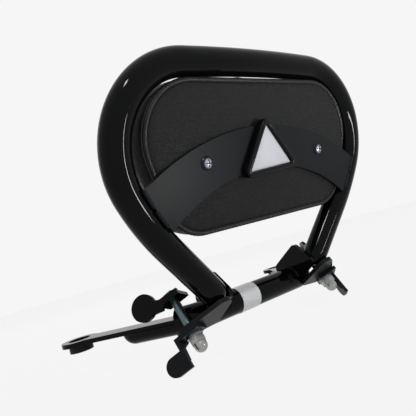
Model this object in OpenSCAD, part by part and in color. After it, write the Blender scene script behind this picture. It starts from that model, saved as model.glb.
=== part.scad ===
// Scooter backrest: a bent tube loop with a padded cushion, on a base tube with two fixing tongues
// and two clamps for the rail of a carrier. Origin: midway between the two tongue holes, on the
// underside of the tongues. +X is the rider's right, +Y the front of the scooter, +Z up.

/* [Tubes] */
// Outside diameter of both tubes
tube_d = 25; // [22:1:28]
// Wall of both tubes
tube_wall = 2; // [1.5:0.5:3]

/* [Loop] */
// Rearward lean of the loop
lean = 15; // [10:1:20]
// Height of the top centre line above the leg ends
loop_h = 196.5; // [170:1:240]
// Half angle of the gently curved top stretch
top_ang = 2.4; // [1.5:0.1:3]
// Radius of the top stretch
top_r = 1863; // [1500:10:2400]
// Radius of the two upper corners
corner_r = 72.5; // [60:0.5:85]
// Heading at which the corner passes into the side
side_ang = 116; // [112:1:120]
// Radius of the two sides
side_r = 218; // [180:1:260]
// Heading of the straight legs
leg_ang = 130; // [126:1:134]

/* [Cross plate] */
// Thickness of the arched cross plate
plate_t = 3; // [2:0.5:4]
// Depth of the plate at its middle
plate_h = 38; // [32:1:50]
// Radius of the plate's upper edge
plate_top_r = 237; // [220:1:260]
// Radius of the plate's lower edge
plate_low_r = 184; // [170:1:200]
// Height of the upper edge's middle above the leg ends
plate_top_z = 139; // [130:1:150]

/* [Pad] */
// Width of the pad
pad_w = 256; // [246:1:257]
// Height of the pad
pad_h = 130; // [118:1:131]
// Gap between the pad's top and the loop
pad_gap = 2.2; // [2:0.1:4]
// Narrowing of the pad towards its bottom on each side
pad_taper = 12; // [11:0.5:16]
// Thickness of the cushion
pad_t = 44; // [30:1:60]
// Radius of the pad's upper corners
pad_top_r = 52; // [40:1:58]
// Radius of the pad's lower corners
pad_low_r = 38; // [34:1:44]
// Diameter of the piping round the back edge
piping_d = 5; // [4:0.5:6]
// Thickness of the board inside the pad
board_t = 9; // [6:1:12]
// Distance between the two pad screws
screw_gap = 146; // [120:1:170]
// Diameter of the pad screws
screw_d = 6; // [5:1:8]

/* [Badge] */
// Width of the triangular badge at its base
badge_w = 64; // [50:1:70]
// Height of the triangular badge
badge_h = 49; // [40:1:52]
// Turn of the badge, as it was stuck on
badge_turn = 4; // [0:1:6]
// Depth of the badge's frame
badge_t = 6; // [5:0.5:10]
// Width of the badge's frame
badge_rim = 6; // [4:0.5:8]

/* [Base] */
// Half length of the straight middle of the base tube
base_half = 62; // [56:1:70]
// Centre line radius of the base tube's bends
bend_r = 25; // [24:1:34]
// Angle of the base tube's bends
splay = 57; // [50:1:62]
// Length of the straight ends past the bends
end_l = 52; // [40:1:70]
// Height of the loop's leg ends above the base tube's axis
leg_up = 20.6; // [18:0.2:24]
// Distance of the loop's leg ends behind the base tube's axis
leg_back = 30.1; // [29:0.2:34]
// Width of the label round the base tube
label_w = 24; // [15:1:40]

/* [Tongues] */
// Thickness of the tongues
tongue_t = 4.5; // [3:0.5:6]
// Width of the bar of the tongues
tongue_w = 24; // [20:1:30]
// Diameter of the eye at the tongue's end
eye_d = 36; // [30:1:44]
// Diameter of the hole in the eye
eye_hole_d = 22; // [16:1:24]
// Distance from the bend to the centre of the eye
eye_l = 118; // [105:1:135]
// Diameter of the bolt hole in the bush
bush_bore_d = 8.4; // [6.4:0.2:10.4]

/* [Clamps] */
// Distance from the middle to the clamp bolts
clamp_x = 93; // [91:1:98]
// Clearance between the clamp bolts and the base tube
clamp_gap = 3; // [2:0.5:5]
// Forward tilt of the clamp bolts
clamp_tilt = 30; // [24:1:34]
// Diameter of the clamp bolts
bolt_d = 8; // [6:1:8]
// Grip length of the clamp bolts
bolt_grip = 40; // [38:1:44]
// Thickness of the mounting plates
lug_t = 4; // [3:0.5:5]
// Width of the mounting plates
lug_w = 26; // [22:1:30]
// Thickness of the hooks
hook_t = 3.5; // [2.5:0.5:4]
// Diameter of the round tips of the hooks
lobe_d = 25; // [18:1:28]

/* [Hidden] */
$fn = 64;

tube_r = tube_d / 2;
weld = 0.05;
run = 0.2;
// Angle left free where two arcs of one tube meet
seam = 0.004;
big = 400;

// Loop: centres and ends of its arcs, in the loop's own plane, as [x, z]
top_c = [0, loop_h - top_r];
top_e = top_c + top_r * [sin(top_ang), cos(top_ang)];
corner_c = top_e - corner_r * [sin(top_ang), cos(top_ang)];
corner_e = corner_c + corner_r * [sin(side_ang), cos(side_ang)];
side_c = corner_e - side_r * [sin(side_ang), cos(side_ang)];
side_e = side_c + side_r * [sin(leg_ang), cos(leg_ang)];
leg_l = side_e[1] / sin(leg_ang);
leg_x = side_e[0] + leg_l * cos(leg_ang);

// Cross plate: it lies against the rear of the loop's tube
plate_y = -tube_r;
plate_inset = sqrt(tube_r * tube_r - pow(tube_r - plate_t, 2)) + 0.3;
plate_low_z = plate_top_z - plate_h;

// Pad: it hangs in the loop, its back on the front of the plate
pad_y = plate_y + plate_t + run;
pad_top_z = loop_h - tube_r - pad_gap;
pad_hi = [pad_w / 2 - pad_top_r, pad_top_z - pad_top_r];
pad_lo = [pad_w / 2 - pad_taper - pad_low_r, pad_top_z - pad_h + pad_low_r];
pad_d = pad_lo - pad_hi;
pad_n = atan2(pad_d[1], pad_d[0]) + acos((pad_top_r - pad_low_r) / norm(pad_d));
cover_t = 1.2;
board_inset = 12;
screw_z = plate_low_z + 0.27 * plate_h;
screw_l = plate_t + board_t + cover_t;
insert_r = screw_d / 2 + 2;

// Badge
badge_r = 6;
badge_x = -2;
badge_z = plate_low_z + plate_h / 2 - badge_h / 2;
badge_face_t = 1.5;
badge_sink = 0.8;

// Base tube: end of the bend and direction of the straight ends
bend_e = [base_half + bend_r * sin(splay), bend_r * (1 - cos(splay))];
cut_s = 4;
label_x = -15;
label_t = 0.3;

// Tongues: underside relative to the base tube's axis
tongue_z = -1;
eye = bend_e + eye_l * [cos(splay), sin(splay)];
bush_drop = 7;
bush_rise = 2.5;
bush_lip = 0.8;
seat_z = tongue_z - bush_drop;

// Clamps: the bolt passes the base tube's straight end with clamp_gap between them
bolt_r = bolt_d / 2;
clamp_cross = [-cos(clamp_tilt) * sin(splay), cos(clamp_tilt) * cos(splay), -sin(clamp_tilt) * cos(splay)];
clamp_apart = (tube_r + bolt_r + clamp_gap) * norm(clamp_cross);
clamp_y = bend_e[1] - (clamp_apart - clamp_cross[0] * (bend_e[0] - clamp_x)) / clamp_cross[1];
hook_ang = atan(tan(splay) * cos(clamp_tilt));
leg_v = [leg_x - clamp_x, -leg_back - clamp_y, leg_up];
leg_u = [leg_v[0],
         leg_v[1] * cos(clamp_tilt) - leg_v[2] * sin(clamp_tilt),
         leg_v[1] * sin(clamp_tilt) + leg_v[2] * cos(clamp_tilt)];
lug_top = leg_u[2] - tube_r;
lug_l = norm([leg_u[0], leg_u[1]]);
lug_ang = atan2(leg_u[1], leg_u[0]);
low_hook_top = lug_top - lug_t - run;
washer_t = 1.6;
nut_top = low_hook_top - hook_t - washer_t;
head_z = nut_top + bolt_grip;
nut_h = 6.5;
nut_af = 1.625 * bolt_d;
dome_r = 0.75 * bolt_d;
nut_l = 15;
head_h = 0.66 * bolt_d;
washer_r = bolt_d;

module in_place() { translate([0, -eye[1], -seat_z]) children(); }
module in_loop() { translate([0, -leg_back, leg_up]) rotate([lean, 0, 0]) children(); }
module side(s) { mirror([s < 0 ? 1 : 0, 0, 0]) children(); }
module both() {
  children();
  mirror([1, 0, 0]) children();
}
// Local frame of the right clamp: Z along the bolt towards its head
module at_clamp() {
  translate([clamp_x, clamp_y, 0]) rotate([-clamp_tilt, 0, 0]) children();
}
module at_hook() { at_clamp() rotate([0, 0, hook_ang]) children(); }
// Local frame of the right end of the base tube: X along the tube
module at_end() { translate([bend_e[0], bend_e[1], 0]) rotate([0, 0, splay]) children(); }

module ring() {
  difference() {
    circle(r = tube_r);
    circle(r = tube_r - tube_wall);
  }
}
// Arc of tube in the loop's plane, clockwise from heading a0 to a1 about centre c
module loop_arc(c, r, a0, a1) {
  translate([c[0], 0, c[1]]) rotate([90, 0, 0]) rotate([0, 0, 90 - a1])
    rotate_extrude(angle = a1 - a0, $fn = 96) translate([r, 0]) ring();
}
module dome() {
  rotate_extrude() intersection() {
    ring();
    square([big, big]);
  }
}
module loop_tube() {
  color("#141416") in_place() in_loop() {
    loop_arc(top_c, top_r, -top_ang, top_ang);
    both() {
      loop_arc(corner_c, corner_r, top_ang + seam, side_ang - seam);
      loop_arc(side_c, side_r, side_ang, leg_ang - seam);
      translate([side_e[0], 0, side_e[1]]) rotate([0, 90 + leg_ang, 0]) {
        linear_extrude(leg_l) ring();
        translate([0, 0, leg_l]) dome();
      }
    }
  }
}

// Solid bar of radius r along the straight end, rounded at its tip
module end_bar(r, from) {
  translate([from, 0, 0]) rotate([0, 90, 0]) cylinder(r = r, h = end_l - from);
  translate([end_l, 0, 0]) sphere(r = r);
}
// The end is open on top, like a boat, and carries the tongue
module base_end() {
  at_end() difference() {
    end_bar(tube_r, 0);
    translate([-1, 0, 0]) rotate([0, 90, 0]) cylinder(r = tube_r - tube_wall, h = cut_s - tube_wall + 1);
    end_bar(tube_r - tube_wall, cut_s);
    translate([cut_s, -tube_d, tongue_z]) cube([big, 2 * tube_d, tube_d]);
  }
}
module base_tube() {
  color("#141416") in_place() {
    translate([-base_half, 0, 0]) rotate([0, 90, 0]) linear_extrude(2 * base_half) ring();
    both() {
      translate([base_half, bend_r, 0]) rotate([0, 0, seam - 90])
        rotate_extrude(angle = splay - 2 * seam, $fn = 96) translate([bend_r, 0]) ring();
      base_end();
    }
  }
}

module plate_outline() {
  difference() {
    intersection() {
      translate([0, plate_top_z - plate_top_r]) circle(r = plate_top_r);
      translate(side_c) circle(r = side_r - plate_inset);
      translate([-side_c[0], side_c[1]]) circle(r = side_r - plate_inset);
    }
    translate([0, plate_low_z - plate_low_r]) circle(r = plate_low_r);
    both() translate([screw_gap / 2, screw_z]) circle(r = screw_d / 2 + 0.3);
  }
}
module cross_plate() {
  color("#18181a") in_place() in_loop() translate([0, plate_y + plate_t, 0]) rotate([90, 0, 0])
    linear_extrude(plate_t) plate_outline();
}

// Outline of the pad, drawn in by inset
module pad_outline(inset) {
  hull() both() {
    translate(pad_hi) circle(r = pad_top_r - inset);
    translate(pad_lo) circle(r = pad_low_r - inset);
  }
}
// Slab of the pad's outline from depth a to depth b in front of the pad's back
module pad_slab(inset, a, b) {
  translate([0, pad_y + b, 0]) rotate([90, 0, 0]) linear_extrude(b - a) pad_outline(inset);
}
module pad_cushion() {
  color("#1c1c1e") in_place() in_loop() difference() {
    union() {
      pad_slab(piping_d + run, cover_t, piping_d);
      hull() {
        pad_slab(0, piping_d, 0.55 * pad_t);
        pad_slab(5, 0.55 * pad_t, 0.8 * pad_t);
        pad_slab(16, 0.8 * pad_t, pad_t);
      }
    }
    pad_slab(board_inset - run, -1, cover_t + board_t + run);
  }
}
module pad_board() {
  color("#8a6a45") in_place() in_loop() difference() {
    pad_slab(board_inset, cover_t, cover_t + board_t);
    at_screws() translate([0, 0, -1]) cylinder(r = insert_r + weld, h = big);
  }
}
module pad_back_cover() {
  color("#1c1c1e") in_place() in_loop() difference() {
    pad_slab(piping_d + run, 0, cover_t);
    at_screws() translate([0, 0, -1]) cylinder(r = screw_d / 2 + 0.3, h = 2 * cover_t);
  }
}
module at_screws() {
  both() translate([screw_gap / 2, pad_y, screw_z]) rotate([-90, 0, 0]) children();
}
module piping_arc(c, r, a0, a1) {
  translate([c[0], 0, c[1]]) rotate([90, 0, 0]) rotate([0, 0, a0])
    rotate_extrude(angle = a1 - a0, $fn = 72) translate([r, 0]) circle(d = piping_d, $fn = 24);
}
module piping_run(a, b) {
  v = b - a;
  translate([a[0], 0, a[1]]) rotate([0, 90 - atan2(v[1], v[0]), 0]) cylinder(d = piping_d, h = norm(v), $fn = 24);
}
module pad_piping() {
  in = piping_d / 2;
  n = [cos(pad_n), sin(pad_n)];
  color("#101012") in_place() in_loop() translate([0, pad_y + piping_d / 2, 0]) {
    piping_run([-pad_hi[0], pad_hi[1] + pad_top_r - in], [pad_hi[0], pad_hi[1] + pad_top_r - in]);
    piping_run([-pad_lo[0], pad_lo[1] - pad_low_r + in], [pad_lo[0], pad_lo[1] - pad_low_r + in]);
    both() {
      piping_arc(pad_hi, pad_top_r - in, pad_n + seam, 90 - seam);
      piping_run(pad_hi + (pad_top_r - in) * n, pad_lo + (pad_low_r - in) * n);
      piping_arc(pad_lo, pad_low_r - in, seam - 90, pad_n - seam);
    }
  }
}
module pad_inserts() {
  color("silver") in_place() in_loop() at_screws() translate([0, 0, cover_t]) difference() {
    cylinder(r = insert_r, h = board_t);
    translate([0, 0, -1]) cylinder(r = screw_d / 2 + weld, h = big);
  }
}
module pad_screws() {
  head_r = screw_d;
  head_h = 0.62 * screw_d;
  slot = 0.18 * screw_d;
  color("silver") in_place() in_loop() at_screws() translate([0, 0, plate_y - pad_y]) {
    cylinder(r = screw_d / 2, h = screw_l);
    difference() {
      intersection() {
        translate([0, 0, -head_h]) cylinder(r = head_r, h = head_h);
        translate([0, 0, 1.2 * head_r - head_h]) sphere(r = 1.2 * head_r);
      }
      for (a = [0, 90]) rotate([0, 0, a]) translate([-0.55 * head_r, -slot / 2, -head_h - 1])
        cube([1.1 * head_r, slot, 1 + 0.45 * head_h]);
    }
  }
}

module badge_outline(inset) {
  r = badge_r - inset;
  hull() {
    translate([badge_w / 2 - badge_r, badge_r]) circle(r = r, $fn = 32);
    translate([badge_r - badge_w / 2, badge_r]) circle(r = r, $fn = 32);
    translate([0, badge_h - badge_r]) circle(r = r, $fn = 32);
  }
}
module badge_slab(inset, a, b) {
  translate([badge_x, plate_y - a, badge_z]) rotate([90, 0, 0]) rotate([0, 0, badge_turn])
    linear_extrude(b - a) badge_outline(inset);
}
module badge_frame() {
  color("#0d0d0f") in_place() in_loop() difference() {
    badge_slab(0, 0, badge_t);
    badge_slab(badge_rim - 0.6, badge_t - badge_face_t - badge_sink, badge_t + 1);
  }
}
module badge_face() {
  color("silver") in_place() in_loop()
    badge_slab(badge_rim - 0.6 + weld, badge_t - badge_face_t - badge_sink, badge_t - badge_sink);
}

module tongue() {
  at_end() translate([0, 0, tongue_z]) linear_extrude(tongue_t) difference() {
    union() {
      translate([cut_s + weld, -tongue_w / 2]) square([eye_l - cut_s, tongue_w]);
      translate([eye_l, 0]) circle(d = eye_d, $fn = 96);
    }
    translate([eye_l, 0]) circle(d = eye_hole_d);
  }
}
module tongue_left() { color("#17171a") in_place() side(-1) tongue(); }
module tongue_right() { color("#17171a") in_place() side(1) tongue(); }
module bush() {
  at_end() translate([eye_l, 0, seat_z]) difference() {
    union() {
      cylinder(r = eye_hole_d / 2 + bush_lip, h = bush_drop);
      cylinder(r = eye_hole_d / 2 - weld, h = bush_drop + bush_rise);
    }
    translate([0, 0, -1]) cylinder(d = bush_bore_d, h = big);
  }
}
module tongue_bush_left() { color("#0c0c0d") in_place() side(-1) bush(); }
module tongue_bush_right() { color("#0c0c0d") in_place() side(1) bush(); }

module mount_plate() {
  difference() {
    at_clamp() translate([0, 0, lug_top - lug_t]) linear_extrude(lug_t) difference() {
      hull() {
        circle(d = lug_w);
        translate([leg_u[0], leg_u[1]]) circle(d = 0.75 * lug_w);
        translate([leg_u[0] - 4, 0]) circle(d = 0.6 * lug_w);
      }
      circle(r = bolt_r + run);
    }
    base_half_tube_core();
  }
}
module base_half_tube_core() {
  rotate([0, 90, 0]) cylinder(r = tube_r + weld, h = base_half + 0.01);
  translate([base_half, bend_r, 0]) rotate([0, 0, -90])
    rotate_extrude(angle = splay, $fn = 96) translate([bend_r, 0]) circle(r = tube_r + weld);
  at_end() rotate([0, 90, 0]) cylinder(r = tube_r + weld, h = end_l);
}
module mount_plate_left() { color("#1b1b1d") in_place() side(-1) mount_plate(); }
module mount_plate_right() { color("#1b1b1d") in_place() side(1) mount_plate(); }

cheek_t = 4;
module cheek_outline() {
  hull() {
    translate([11, 13]) circle(r = 6, $fn = 32);
    translate([-leg_back + 13, leg_up + 9]) circle(r = 6, $fn = 32);
    translate([-leg_back - 1, leg_up - 5]) circle(r = 6, $fn = 32);
    translate([0, -4]) circle(r = 5, $fn = 32);
  }
}
module cheek() {
  difference() {
    translate([leg_x - tube_r - weld - cheek_t, 0, 0]) rotate([90, 0, 90]) linear_extrude(cheek_t) cheek_outline();
    at_clamp() translate([-big / 2, -big / 2, lug_top - big + weld]) cube(big);
    base_half_tube_core();
  }
}
module cheek_left() { color("#1b1b1d") in_place() side(-1) cheek(); }
module cheek_right() { color("#1b1b1d") in_place() side(1) cheek(); }

hook_w = 22;
blade_y = -11.5;
flange_y = 10;
// Middle of the upper hook's lobe, from the bolt and from the underside of its head
upper_lobe = [24.5, 6];
module upper_hook() {
  at_hook() translate([0, 0, head_z]) {
    difference() {
      translate([-hook_w / 2, blade_y, -hook_t]) cube([hook_w, flange_y - blade_y, hook_t]);
      translate([0, 0, -2 * hook_t]) cylinder(r = bolt_r + weld, h = 3 * hook_t);
    }
    translate([0, blade_y + hook_t, 0]) rotate([90, 0, 0]) linear_extrude(hook_t) {
      polygon([
        [-hook_w / 2, -hook_t],
        [0.3 * hook_w, -hook_t],
        upper_lobe - [15, 13.5],
        upper_lobe - [4, 10.5],
        upper_lobe,
        upper_lobe - [9, -1],
        upper_lobe - [17, 3],
        [-hook_w / 2, 2]
      ]);
      translate(upper_lobe) circle(d = lobe_d);
    }
  }
}
module upper_hook_left() { color("#101012") in_place() side(-1) upper_hook(); }
module upper_hook_right() { color("#101012") in_place() side(1) upper_hook(); }

neck_x = 10;
neck_y = [-14, 7];
// Middle of the lower hook's lobe, from the bolt and from the top of its flange
lower_lobe = [20, -19];
lower_lobe_h = 17;
lower_lobe_l = 24;
module lower_hook() {
  at_hook() translate([0, 0, low_hook_top]) {
    difference() {
      translate([-hook_w / 2, neck_y[0], -hook_t]) cube([hook_w / 2 + neck_x + hook_t, neck_y[1] - neck_y[0], hook_t]);
      translate([0, 0, -2 * hook_t]) cylinder(r = bolt_r + weld, h = 3 * hook_t);
    }
    translate([neck_x, 0, 0]) rotate([90, 0, 90]) linear_extrude(hook_t)
      polygon([
        [neck_y[0], 0],
        [neck_y[1], 0],
        [neck_y[1] - 2, -5],
        [neck_y[0] + 7, -10],
        [neck_y[0] + 5, lower_lobe[1] - 2],
        [neck_y[0], lower_lobe[1] - 4]
      ]);
    translate([lower_lobe[0], neck_y[0] + hook_t, lower_lobe[1]]) rotate([90, 0, 0]) linear_extrude(hook_t) {
      translate([neck_x - lower_lobe[0], -lower_lobe_h / 2]) square([lower_lobe_l / 2 + lower_lobe[0] - neck_x - lower_lobe_h / 2, lower_lobe_h]);
      translate([(lower_lobe_l - lower_lobe_h) / 2, 0]) circle(d = lower_lobe_h);
    }
  }
}
module lower_hook_left() { color("#101012") in_place() side(-1) lower_hook(); }
module lower_hook_right() { color("#101012") in_place() side(1) lower_hook(); }

module clamp_bolt() {
  at_clamp() {
    translate([0, 0, nut_top - nut_l + 4]) cylinder(r = bolt_r, h = head_z - nut_top + nut_l - 4);
    translate([0, 0, head_z]) cylinder(d = nut_af / cos(30), h = head_h, $fn = 6);
  }
}
module clamp_bolt_left() { color("#b9bec4") in_place() side(-1) clamp_bolt(); }
module clamp_bolt_right() { color("#b9bec4") in_place() side(1) clamp_bolt(); }
module acorn_nut() {
  at_clamp() difference() {
    union() {
      translate([0, 0, nut_top - nut_h]) cylinder(d = nut_af / cos(30), h = nut_h, $fn = 6);
      translate([0, 0, nut_top - nut_l + dome_r]) cylinder(r = dome_r, h = nut_l - dome_r - 1);
      translate([0, 0, nut_top - nut_l + dome_r]) sphere(r = dome_r);
    }
    translate([0, 0, nut_top - nut_l + 4 - weld]) cylinder(r = bolt_r + weld, h = nut_l);
  }
}
module acorn_nut_left() { color("#c9ccd0") in_place() side(-1) acorn_nut(); }
module acorn_nut_right() { color("#c9ccd0") in_place() side(1) acorn_nut(); }
module clamp_washers() {
  color("#b9bec4") in_place() both() at_clamp() translate([0, 0, nut_top]) difference() {
    cylinder(r = washer_r, h = washer_t);
    translate([0, 0, -1]) cylinder(r = bolt_r + weld, h = washer_t + 2);
  }
}
module tube_label() {
  color("white") in_place() translate([label_x - label_w / 2, 0, 0]) rotate([0, 90, 0]) difference() {
    cylinder(r = tube_r + weld + label_t, h = label_w);
    translate([0, 0, -1]) cylinder(r = tube_r + weld, h = label_w + 2);
  }
}

loop_tube();
base_tube();
cross_plate();
pad_cushion();
pad_board();
pad_back_cover();
pad_piping();
pad_inserts();
pad_screws();
badge_frame();
badge_face();
tongue_left();
tongue_right();
tongue_bush_left();
tongue_bush_right();
mount_plate_left();
mount_plate_right();
cheek_left();
cheek_right();
upper_hook_left();
upper_hook_right();
lower_hook_left();
lower_hook_right();
clamp_bolt_left();
clamp_bolt_right();
acorn_nut_left();
acorn_nut_right();
clamp_washers();
tube_label();
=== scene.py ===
"""Dresses a scooter backrest: an enamelled tube loop with a padded cushion, a badge, tongues and rail clamps.

Lengths in the functions are millimetres in the drawing's frames and become metres when a mesh is made.
"""
import math

import bmesh
import bpy
import numpy as np
from mathutils import Matrix, Vector


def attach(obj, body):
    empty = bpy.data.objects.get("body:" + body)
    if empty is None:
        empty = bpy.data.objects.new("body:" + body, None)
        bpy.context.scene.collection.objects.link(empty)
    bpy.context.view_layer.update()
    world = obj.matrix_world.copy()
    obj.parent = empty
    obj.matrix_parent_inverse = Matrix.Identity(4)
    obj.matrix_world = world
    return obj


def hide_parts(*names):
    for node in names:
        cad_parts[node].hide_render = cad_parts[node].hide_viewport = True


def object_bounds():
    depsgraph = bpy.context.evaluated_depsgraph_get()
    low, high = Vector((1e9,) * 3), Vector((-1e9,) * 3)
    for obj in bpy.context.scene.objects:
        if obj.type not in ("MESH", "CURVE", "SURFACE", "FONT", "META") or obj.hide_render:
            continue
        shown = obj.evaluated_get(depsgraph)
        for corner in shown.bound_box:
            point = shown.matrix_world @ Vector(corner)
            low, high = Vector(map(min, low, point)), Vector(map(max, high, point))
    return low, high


bl_info = {
    "name": "Scooter backrest",
    "version": (1, 0, 0),
    "blender": (4, 5, 0),
    "location": "View3D > Sidebar > Backrest",
    "description": "Dresses a scooter backrest: padding, badge, weld beads, finishes and studio",
    "category": "Object",
}

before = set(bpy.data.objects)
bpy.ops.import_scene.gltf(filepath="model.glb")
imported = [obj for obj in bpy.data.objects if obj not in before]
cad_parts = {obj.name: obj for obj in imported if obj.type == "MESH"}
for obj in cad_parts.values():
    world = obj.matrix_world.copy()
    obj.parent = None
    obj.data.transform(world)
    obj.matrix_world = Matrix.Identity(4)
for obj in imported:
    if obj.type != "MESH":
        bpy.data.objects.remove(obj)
CAD_BOX = [list(corner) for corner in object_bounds()]
BODY = "backrest"

# Sizes that the drawing gives, in millimetres
TUBE_R = 12.5
LEAN = math.radians(15)
LEG_BACK = 30.1
LEG_UP = 20.6
LEG_X = 72.5
SIDE_R = 218.0
SIDE_C = (-55.796, 186.212)
PLATE_T = 3.0
PLATE_H = 38.0
PLATE_TOP_Z = 139.0
PAD_Y = -9.3
PAD_T = 44.0
PAD_HI = (76.0, 129.8)
PAD_LO = (78.0, 89.8)
PAD_HI_R = 52.0
PAD_LO_R = 38.0
PIPING = 5.0
COVER_T = 1.2
HEAD_H = 3.72
BADGE_W = 64.0
BADGE_H = 49.0
BADGE_R = 6.0
BADGE_X = -2.0
BADGE_TURN = math.radians(4)
BASE_HALF = 62.0
BEND_R = 25.0
SPLAY = math.radians(57)
END_L = 52.0
CUT_S = 4.0
EYE_Y = 110.347
SEAT_Z = -8.0

# Settings of the mesh and of the finishes
PAD_POINTS = 176
BACK_POINTS = 360
PIPING_POINTS = 620
BADGE_POINTS = 180
EDGE_WIDTH = 0.0005


# Frames

def to_row(points):
    """Drawing to row frame: the tongue bushes' seat becomes the origin, and millimetres become metres."""
    return (np.asarray(points, float) - np.array([0.0, EYE_Y, SEAT_Z])) / 1000.0


def from_loop(points):
    """Loop's plane to drawing: turned by the lean about X, then moved to the feet."""
    p = np.asarray(points, float)
    c, s = math.cos(LEAN), math.sin(LEAN)
    x, y, z = p[..., 0], p[..., 1], p[..., 2]
    return np.stack([x, y * c - z * s - LEG_BACK, y * s + z * c + LEG_UP], axis=-1)


def from_end(points, side):
    """Straight end of the base tube to drawing: X lies along the end, turned out by the splay; side -1 mirrors."""
    p = np.asarray(points, float)
    c, s = math.cos(SPLAY), math.sin(SPLAY)
    x0, y0 = BASE_HALF + BEND_R * s, BEND_R * (1 - c)
    x = p[..., 0] * c - p[..., 1] * s + x0
    y = p[..., 0] * s + p[..., 1] * c + y0
    return np.stack([side * x, y, p[..., 2]], axis=-1)


# Shapes

def resample(points, count, closed=True):
    """Points at equal steps of arc length along a polyline."""
    p = np.asarray(points, float)
    if closed:
        p = np.vstack([p, p[:1]])
    step = np.linalg.norm(np.diff(p, axis=0), axis=1)
    run = np.concatenate([[0], np.cumsum(step)])
    at = np.linspace(0, run[-1], count, endpoint=not closed)
    return np.stack([np.interp(at, run, p[:, k]) for k in range(p.shape[1])], axis=1)


def arc(centre, radius, start, stop, count=24):
    """Points centre + radius (cos a, sin a) for a from start to stop, in degrees."""
    a = np.radians(np.linspace(start, stop, count))
    return np.stack([centre[0] + radius * np.cos(a), centre[1] + radius * np.sin(a)], axis=1)


def pad_outline(inset, count):
    """Hull of the pad's four corner circles, each radius less the inset, anticlockwise."""
    dx, dz = PAD_LO[0] - PAD_HI[0], PAD_LO[1] - PAD_HI[1]
    tip = math.degrees(math.atan2(dz, dx) + math.acos((PAD_HI_R - PAD_LO_R) / math.hypot(dx, dz)))
    hi, lo = PAD_HI_R - inset, PAD_LO_R - inset
    right_hi = arc(PAD_HI, hi, tip, 90)
    right_lo = arc(PAD_LO, lo, -90, tip)
    left_hi = right_hi[::-1] * [-1, 1]
    left_lo = right_lo[::-1] * [-1, 1]
    return resample(np.vstack([right_hi, left_hi, left_lo, right_lo]), count)


def badge_outline(inset, count):
    """Triangle with rounded corners: circles at its corners joined by straight sides, anticlockwise."""
    r = BADGE_R - inset
    a = np.array([BADGE_W / 2 - BADGE_R, BADGE_R])
    b = np.array([0.0, BADGE_H - BADGE_R])
    lean = math.degrees(math.atan2(a[0] - b[0], b[1] - a[1]))
    right = arc(a, r, -90, lean, 16)
    top = arc(b, r, lean, 180 - lean, 16)
    return resample(np.vstack([right, top, right[::-1] * [-1, 1]]), count)


def rings_mesh(name, rings, closed_path=False, cap_start=None, cap_end=None):
    """Mesh of a grid of rings: row j is one closed ring of points, joined to row j + 1 by quads.

    A cap is a single point that closes the first or the last ring. A closed path joins the last ring to
    the first.
    """
    rings = np.asarray(rings, float)
    rows, cols = rings.shape[:2]
    verts = rings.reshape(-1, 3)
    i, j = np.meshgrid(np.arange(cols), np.arange(rows if closed_path else rows - 1))
    a = j * cols + i
    b = j * cols + (i + 1) % cols
    c = ((j + 1) % rows) * cols + (i + 1) % cols
    d = ((j + 1) % rows) * cols + i
    quads = np.stack([a, b, c, d], axis=-1).reshape(-1, 4)
    faces = quads.tolist()
    if cap_start is not None:
        verts = np.vstack([verts, cap_start])
        k = np.arange(cols)
        faces += np.stack([(k + 1) % cols, k, np.full(cols, len(verts) - 1)], axis=1).tolist()
    if cap_end is not None:
        verts = np.vstack([verts, cap_end])
        k = (rows - 1) * cols + np.arange(cols)
        n = (rows - 1) * cols + (np.arange(cols) + 1) % cols
        faces += np.stack([k, n, np.full(cols, len(verts) - 1)], axis=1).tolist()
    return solid_mesh(name, verts, faces)


def solid_mesh(name, verts, faces):
    """Object from vertices in the row frame, with its normals turned outwards and smooth faces."""
    mesh = bpy.data.meshes.new(name)
    mesh.from_pydata(np.asarray(verts).tolist(), [], faces)
    edit = bmesh.new()
    edit.from_mesh(mesh)
    bmesh.ops.recalc_face_normals(edit, faces=edit.faces)
    edit.to_mesh(mesh)
    edit.free()
    mesh.polygons.foreach_set("use_smooth", np.ones(len(mesh.polygons), bool))
    obj = bpy.data.objects.new(name, mesh)
    bpy.context.scene.collection.objects.link(obj)
    return obj


def join_parts(name, parts):
    """One object from several, in the row frame."""
    verts, faces, base = [], [], 0
    for part in parts:
        mesh = part.data
        corners = np.empty(len(mesh.loops), int)
        starts = np.empty(len(mesh.polygons), int)
        mesh.loops.foreach_get("vertex_index", corners)
        mesh.polygons.foreach_get("loop_start", starts)
        verts.append(vertex_places(mesh))
        faces += [face.tolist() for face in np.split(corners + base, starts[1:])]
        base += len(mesh.vertices)
        bpy.data.objects.remove(part)
    return solid_mesh(name, np.vstack(verts), faces)


def vertex_places(mesh):
    """A mesh's vertices as an array with a row for each."""
    co = np.empty(len(mesh.vertices) * 3)
    mesh.vertices.foreach_get("co", co)
    return co.reshape(-1, 3)


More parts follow.
